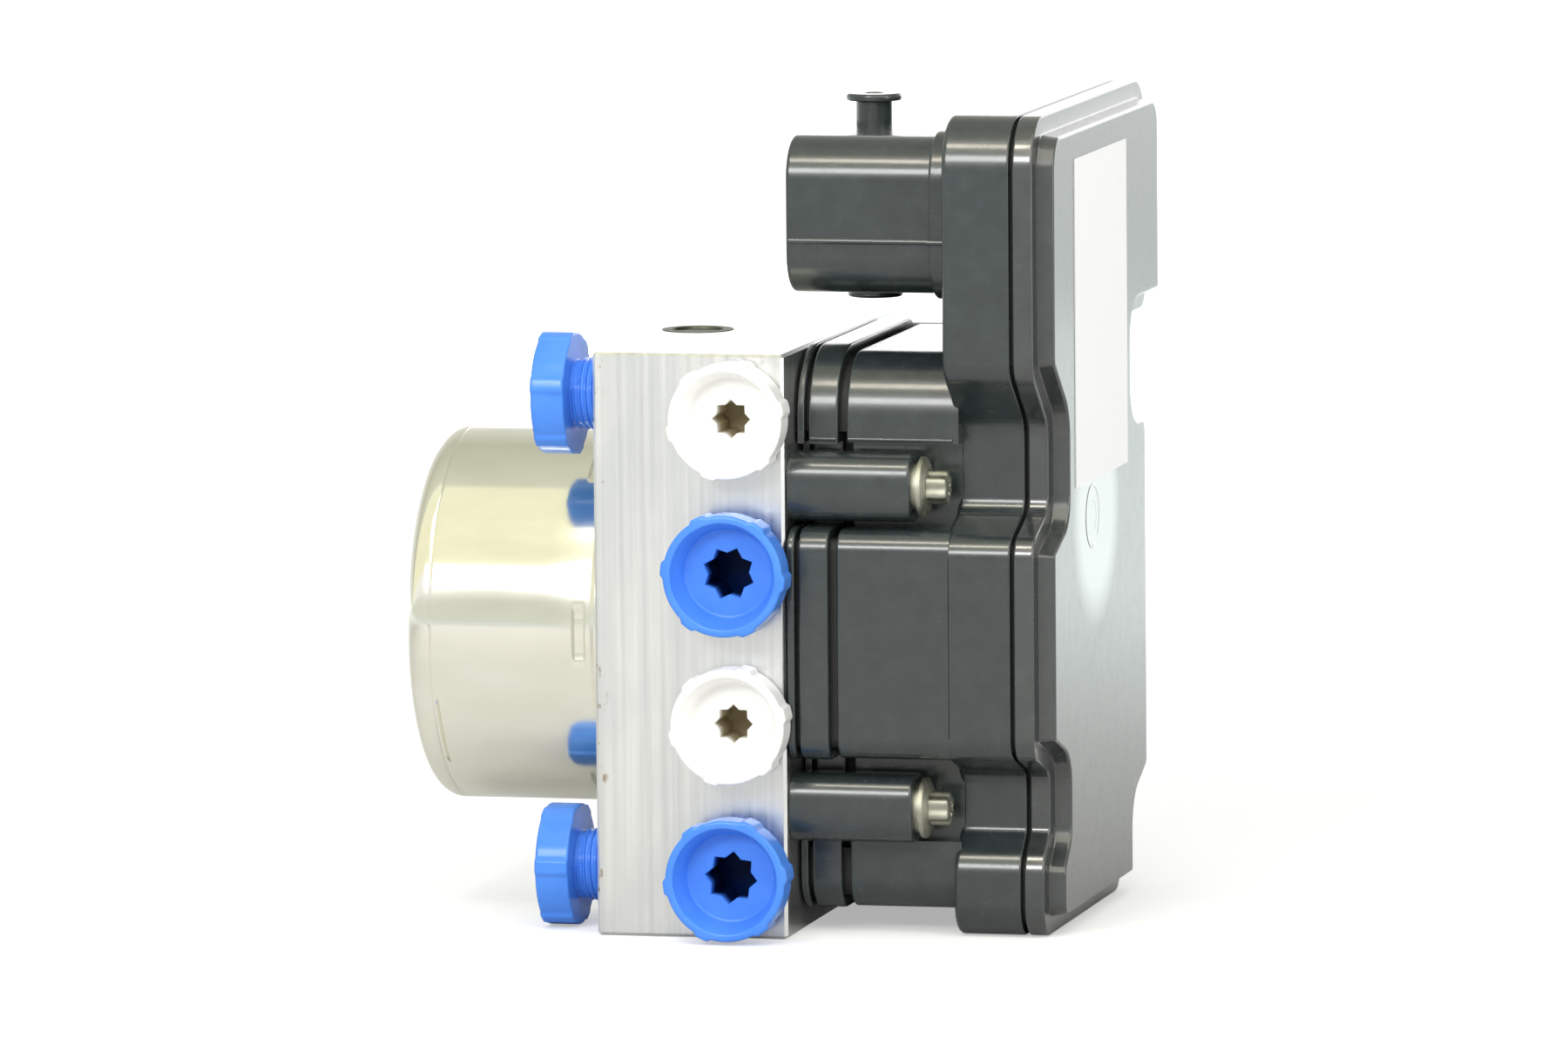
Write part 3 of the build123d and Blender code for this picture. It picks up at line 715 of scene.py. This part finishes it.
def coil_box():
    """A seal whose dark rubber also floors the foot's grooves as painted shade, the rim and band of the foot,
    the box past its groove, and beads along its front.
    """
    foot = box_corners(BAND_TOP, 11)
    body = box_corners(BOX_TOP, 10)
    # The dark rubber core is a seal at the block face, and painted shade on the floors of the gaps between
    # rim, band and box
    lip = slab(body, [(CONTROL_FACE, SEAL_INSET), (CONTROL_FACE + 9.6, SEAL_INSET)])
    mesh_piece("housing_seal_and_groove_shade", *lip, SEAL_RUBBER_AND_SHADE, "module", "housing", ["ecu_housing"])
    rim = slab(grown(foot, FOOT_RISE), rounded_stations(CONTROL_FACE + 0.4, CONTROL_FACE + 1.6, 0.3, 0.4))
    band = slab(grown(foot, FOOT_RISE), rounded_stations(CONTROL_FACE + 2.3, CONTROL_FACE + 7.2, 0.4, 0.4))
    box = slab(body, rounded_stations(CONTROL_FACE + 8.6, PLATE_START + 1.0, 0.4, 0))
    lines = []
    height = UPPER_POCKET_TOP + 0.5
    for start, end, proud in ((2.6, 6.9, 0.65), (8.9, 26.3, 0.4)):
        lines.append(bead(CONTROL_FACE + start, CONTROL_FACE + end, BOX_UPPER_Y - proud, height))
    housing_piece("coil_box", joined(rim, band, box, *lines))


def screw_places():
    """Each housing screw's y and z, and the y of the pocket wall behind its boss."""
    for height in FRONT_SCREWS_Z:
        yield FRONT_SCREW_Y, height, POCKET_FLOOR
    for height in REAR_SCREWS_Z:
        yield REAR_SCREW_Y, height, REAR_POCKET_Y


def squared(part):
    """A turned part whose round section becomes a soft square of the same width."""
    vertices, faces = part
    softened = []
    for x, y, height in vertices:
        radius = math.hypot(x, y)
        square = (abs(x) ** SQUARENESS + abs(y) ** SQUARENESS) ** (1 / SQUARENESS)
        share = radius / square if square > 0 else 1
        softened.append((x * share, y * share, height))
    return softened, faces


def screw_bosses():
    """A soft square post and its web for each screw, with a metal sleeve in its end."""
    posts, sleeves = [], []
    for y, z, pocket in screw_places():
        low_y, high_y = sorted((y, pocket))
        end = CONTROL_FACE + BOSS_END
        centre = (CONTROL_FACE, y, z)
        round_post = turned([(0, 0, 0), (BOSS_RADIUS, 0, 0.25), (BOSS_RADIUS - 0.1, BOSS_END - 0.9, 0.5),
                             (0, BOSS_END - 0.9, 0)])
        posts.append(placed(squared(round_post), centre, TO_CONTROL))
        posts.append(box_between((CONTROL_FACE, low_y, z - 2.2), (end - 1.5, high_y, z + 2.2)))
        sleeve = turned([(0, BOSS_END - 1.4, 0), (SLEEVE_RADIUS, BOSS_END - 1.4, 0),
                         (SLEEVE_RADIUS, BOSS_END, 0.1), (0, BOSS_END, 0)])
        sleeves.append(placed(sleeve, centre, TO_CONTROL))
    housing_piece("screw_bosses", joined(*posts))
    mesh_piece("screw_sleeves", *joined(*sleeves), SCREW_METAL, "module", "screws", ["ecu_housing"])


def plate():
    stations = rounded_stations(PLATE_START, PLATE_END + 0.2, 0.9, 0.35)
    housing_piece("plate", slab(PLATE_CORNERS, stations))
    seal = slab(PLATE_CORNERS, [(PLATE_END - 1.0, COVER_SEAL_INSET), (PLATE_END + 1.6, COVER_SEAL_INSET)])
    mesh_piece("cover_seal", *seal, SEAL_RUBBER_AND_SHADE, "module", "housing", ["ecu_housing"])


def lever_pin(face, stem, outward):
    """A mushroom pin for the connector's lever, with a shallow dimple in its head."""
    top, dimple = stem + 1.2, stem + 0.9
    profile = [(0, -1.0, 0), (LEVER_STEM_RADIUS, -1.0, 0), (LEVER_STEM_RADIUS, stem, 0.3),
               (LEVER_HEAD_RADIUS, stem, 0.25), (LEVER_HEAD_RADIUS, top, 0.45),
               (1.6, top, 0.2), (1.4, dimple, 0.2), (0, dimple, 0)]
    return placed(turned(profile, segments=64), (CONTROL_FACE + 6.7, -1.0, face), outward)


def connector_shroud():
    """The hollow shroud and its collar, with a ridge along each side and the two lever pins."""
    (low_y, high_y), (low_z, high_z) = SHROUD
    outside = rounded_stations(SHROUD_MOUTH, PLATE_START + 1.0, 0.7, 0)
    inside = [(PLATE_START - 0.3, SHROUD_WALL), (SHROUD_MOUTH + 1.2, SHROUD_WALL),
              (SHROUD_MOUTH + 0.25, SHROUD_WALL - 0.25), (SHROUD_MOUTH, SHROUD_WALL - 0.8)]
    wall = slab(shroud_corners(), inside + outside)
    collar_stations = rounded_stations(CONTROL_FACE + 22.3, PLATE_START + 1.0, 0.5, 0)
    collar = slab(shroud_corners(COLLAR_RISE), collar_stations)
    ridges = []
    for face in (low_y, high_y):
        for start, proud in ((SHROUD_MOUTH + 0.6, 0.5), (CONTROL_FACE + 22.0, 1.3)):
            ridges.append(box_between((start, face - proud, SHROUD_RIDGE[0]),
                                      (PLATE_START + 0.4, face + proud, SHROUD_RIDGE[1])))
    pins = [lever_pin(low_z, 1.5, DOWN), lever_pin(high_z, 4.0, UP)]
    housing_piece("connector_shroud", joined(wall, *ridges, *pins))
    housing_piece("connector_collar", collar)


COVER_START = CONTROL_FACE + 38.1
COVER_LEDGE = CONTROL_FACE + 41.4
COVER_FIELD = CONTROL_FACE + 44.3
LEDGE_INSET = 2.9
RISER_INSET = 3.5
FIELD_ROUND = 0.5
FIELD_STEPS = 4
GATE = (COVER_FIELD, -6.6, 66.8)


def cover():
    """The cover: its rim, a flat ledge, a riser to the raised field, and the ring round its gate."""
    stations = rounded_stations(COVER_START, COVER_LEDGE, 0.35, 0.4)
    stations += [(COVER_LEDGE + 0.02, LEDGE_INSET), (COVER_LEDGE + 0.14, 3.15), (COVER_LEDGE + 0.45, 3.27)]
    for step in range(FIELD_STEPS + 1):
        angle = math.pi / 2 * step / FIELD_STEPS
        stations.append((COVER_FIELD - FIELD_ROUND * (1 - math.sin(angle)),
                         RISER_INSET + FIELD_ROUND * (1 - math.cos(angle))))
    mesh_piece("cover", *slab(PLATE_CORNERS, stations), COVER_PLASTIC, "module", "cover", ["ecu_cover"])
    ring = turned([(0, -0.4, 0), (5.5, -0.2, 0), (5.35, 0.08, 0.05), (5.0, 0.08, 0.05), (4.7, 0.02, 0.1),
                   (2.7, 0.02, 0.1), (2.3, -0.18, 0.15), (0, -0.18, 0)], segments=64)
    mark = placed(ring, GATE, TO_CONTROL)
    mesh_piece("gate_mark", *mark, COVER_PLASTIC, "module", "cover", ["ecu_cover"])


# Screws

HEAD_SAMPLES = 120
HEAD_RADIUS = 2.55
HEAD_LOBES = 6
HEAD_LOBE_RISE = 0.25
HEAD_START = 1.3
SHANK_RADIUS = 2.2
FLANGE_RADIUS = 5.0


def lobed_head():
    """A six-lobed head with a rounded end and a shallow dimple."""
    levels = [(0.0, 0.15), (0.25, 0.0), (2.8, 0.0), (3.1, -0.1), (3.25, -0.35), (3.3, -0.8), (3.3, -1.3),
              (3.1, -1.6)]
    rings = []
    for height, grow in levels:
        ring = []
        for index in range(HEAD_SAMPLES):
            angle = 2 * math.pi * index / HEAD_SAMPLES
            radius = HEAD_RADIUS + HEAD_LOBE_RISE * math.cos(HEAD_LOBES * angle) + grow
            ring.append((radius * math.cos(angle), radius * math.sin(angle), height + BOSS_END + HEAD_START))
        rings.append(ring)
    return lofted(rings)


def screws():
    """The four housing screws, each a shank, a flange and a lobed head."""
    parts = []
    flange = turned([(0, -9.0, 0), (SHANK_RADIUS, -9.0, 0), (2.48, -8.7, 0), (2.48, BOSS_END, 0),
                     (FLANGE_RADIUS, BOSS_END, 0), (FLANGE_RADIUS, BOSS_END + 0.7, 0.25),
                     (3.7, BOSS_END + 1.35, 0.3), (0, BOSS_END + 1.5, 0)], segments=72)
    screw = joined(flange, lobed_head())
    for y, z, _ in screw_places():
        parts.append(placed(screw, (CONTROL_FACE, y, z), TO_CONTROL))
    mesh_piece("housing_bolts", *joined(*parts), SCREW_METAL, "module", "screws", ["housing_screws"])


def dress_node(name, material):
    """A CAD node that keeps its shape gets its material."""
    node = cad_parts[name]
    node.data.materials.clear()
    node.data.materials.append(material)


motor_can()
pump_closures()
transit_plugs()
coil_box()
screw_bosses()
plate()
connector_shroud()
cover()
screws()
dress_node("hydraulic_block", ALUMINIUM)
dress_node("connector_pins", TINNED_BRASS)
dress_node("blank_label", LABEL_PAPER)


# Floor, light and camera

WHITE = 1.0  # no background is brighter, for any ray
FILL = 0.46  # the room's brightness for soft light
FLOOR_WHITE = 0.42  # what the camera sees added to the floor near the object
HORIZON = 0.5  # the least that reflections see added to the far floor
FAR_FROM = 0.62  # the far floor starts this many metres from a place in front of the object
FAR_FULL = 1.0
FAR_SHIFT = (0, 0.45, 0)
RAMP_REACH = 2.0  # metres behind the object that the floor's own ramp covers
FLOOR_BEHIND = [(0.02, 0.0), (0.10, 0.28), (0.225, 1.0), (0.47, 1.0), (0.54, 0.45), (0.6, 0.3), (1.0, 0.3)]


def floor():
    """A pale floor that keeps the shadow, made white for the camera and for reflections further off."""
    mesh = bpy.data.meshes.new("floor")
    reach, level = 8.0, -0.1 * MM
    mesh.from_pydata([(-reach, -reach, level), (reach, -reach, level), (reach, reach, level),
                      (-reach, reach, level)], [], [(0, 1, 2, 3)])
    plane = bpy.data.objects.new("floor", mesh)
    bpy.context.scene.collection.objects.link(plane)
    material = bpy.data.materials.new("pale_floor")
    material.use_nodes = True
    tree = material.node_tree
    tree.nodes.clear()
    diffuse = tree.nodes.new("ShaderNodeBsdfDiffuse")
    diffuse.inputs["Color"].default_value = (0.70, 0.70, 0.68, 1.0)
    path = tree.nodes.new("ShaderNodeLightPath")
    distance = tree.nodes.new("ShaderNodeVectorMath")
    distance.operation = "LENGTH"
    place = texture_place(tree, (1.0, 1.0, 1.0))
    place.node.inputs["Location"].default_value = FAR_SHIFT
    tree.links.new(place, distance.inputs[0])
    far = share_between(tree, distance.outputs["Value"], FAR_FROM, FAR_FULL)
    for_camera = calculated(tree, "MAXIMUM", far, FLOOR_WHITE)
    seen = calculated(tree, "MULTIPLY", path.outputs["Is Camera Ray"], for_camera)
    along = calculated(tree, "MULTIPLY", object_axes(tree)["Y"], 1 / RAMP_REACH)
    behind = ramp(tree, along, FLOOR_BEHIND)
    mirrored = calculated(tree, "MAXIMUM", calculated(tree, "MULTIPLY", far, HORIZON), behind)
    total = calculated(tree, "MULTIPLY_ADD", path.outputs["Is Glossy Ray"], mirrored, seen)
    glow = tree.nodes.new("ShaderNodeEmission")
    tree.links.new(total, glow.inputs["Strength"])
    tint = mixed(tree, path.outputs["Is Camera Ray"], (0.88, 1.0, 0.99), (1.0, 1.0, 1.0))
    tree.links.new(tint, glow.inputs["Color"])
    add = tree.nodes.new("ShaderNodeAddShader")
    output = tree.nodes.new("ShaderNodeOutputMaterial")
    tree.links.new(diffuse.outputs["BSDF"], add.inputs[0])
    tree.links.new(glow.outputs["Emission"], add.inputs[1])
    tree.links.new(add.outputs["Shader"], output.inputs["Surface"])
    mesh.materials.append(material)


# The room in reflections, from the horizon in front of the object, over it, to the one behind it
ROOM = [(0.0, (0.75, 0.76, 0.70)), (0.07, (0.735, 0.75, 0.69)), (0.10, (1.0, 1.0, 0.965)),
        (0.160, (1.0, 1.0, 0.965)), (0.178, (1.0, 0.97, 0.73)), (0.486, (1.0, 0.99, 0.76)),
        (0.500, (0.725, 0.725, 0.62)), (0.72, (0.565, 0.565, 0.47)), (0.90, (0.82, 0.82, 0.78)),
        (1.0, (0.88, 0.88, 0.88))]


def studio():
    """A white surround for the camera, a room for reflections, and an even fill for the rest."""
    world = bpy.data.worlds.new("studio")
    bpy.context.scene.world = world
    world.use_nodes = True
    tree = world.node_tree
    background = tree.nodes["Background"]
    place = tree.nodes.new("ShaderNodeTexCoord")
    split = tree.nodes.new("ShaderNodeSeparateXYZ")
    tree.links.new(place.outputs["Generated"], split.inputs["Vector"])
    forward = calculated(tree, "MULTIPLY", split.outputs["Y"], -1.0)
    angle = calculated(tree, "ARCTAN2", split.outputs["Z"], forward)
    room = ramp(tree, share_between(tree, angle, 0.0, math.pi), ROOM)
    path = tree.nodes.new("ShaderNodeLightPath")
    glossy = mixed(tree, path.outputs["Is Glossy Ray"], (FILL,) * 3, room)
    seen = mixed(tree, path.outputs["Is Camera Ray"], glossy, (1.0, 1.0, 1.0))
    tree.links.new(seen, background.inputs["Color"])
    background.inputs["Strength"].default_value = WHITE


def softbox(name, place, target, size, brightness, colour=(1.0, 1.0, 1.0), in_gloss=True):
    """A lamp that the camera doesn't see; its face is so many times as bright as white."""
    data = bpy.data.lights.new(name, "AREA")
    data.shape = "RECTANGLE"
    data.size, data.size_y = size
    data.energy = brightness * 4 * size[0] * size[1]
    data.color = colour
    lamp = bpy.data.objects.new(name, data)
    bpy.context.scene.collection.objects.link(lamp)
    lamp.location = place
    lamp.rotation_mode = "QUATERNION"
    lamp.rotation_quaternion = (Vector(target) - Vector(place)).to_track_quat("-Z", "Y")
    lamp.visible_glossy = in_gloss
    lamp.visible_camera = False


def camera():
    """The photograph's view: its direction, distance, aim, roll and focal length."""
    azimuth, elevation, roll = (math.radians(value) for value in (13.2, 6.4, 0.47))
    distance = 2.140
    aim = Vector((15.97, -40.0, 68.6)) * MM
    back = Vector((math.sin(azimuth) * math.cos(elevation), -math.cos(azimuth) * math.cos(elevation),
                   math.sin(elevation)))
    data = bpy.data.cameras.new("camera")
    data.sensor_width = 36.0
    data.lens = 301.74
    data.clip_end = 100.0
    view = bpy.data.objects.new("camera", data)
    bpy.context.scene.collection.objects.link(view)
    view.location = aim + back * distance
    view.rotation_mode = "QUATERNION"
    view.rotation_quaternion = (-back).to_track_quat("-Z", "Y") @ Quaternion((0, 0, 1), -roll)
    bpy.context.scene.camera = view


floor()
studio()
MIDDLE = (0.02, -0.03, 0.07)
softbox("key", (0.20, -0.34, 0.46), MIDDLE, (0.62, 0.56), 1.2, (1.0, 0.97, 0.90))
softbox("strip", (-0.25, -1.05, 0.56), MIDDLE, (0.50, 0.22), 11.0)
softbox("warm", (-0.075, -0.34, 0.51), (0.03, -0.03, 0.11), (0.075, 0.075), 14.0, (1.0, 0.93, 0.78))
softbox("side", (1.3, -0.5, 0.35), MIDDLE, (0.35, 0.9), 3.0)
softbox("overhead", (-0.4, 0.3, 2.0), MIDDLE, (2.0, 1.6), 0.6, in_gloss=False)
softbox("rear", (0, 2.2, 0.4), MIDDLE, (2.8, 0.8), 1.2)
camera()
bpy.context.scene.view_settings.view_transform = "Standard"
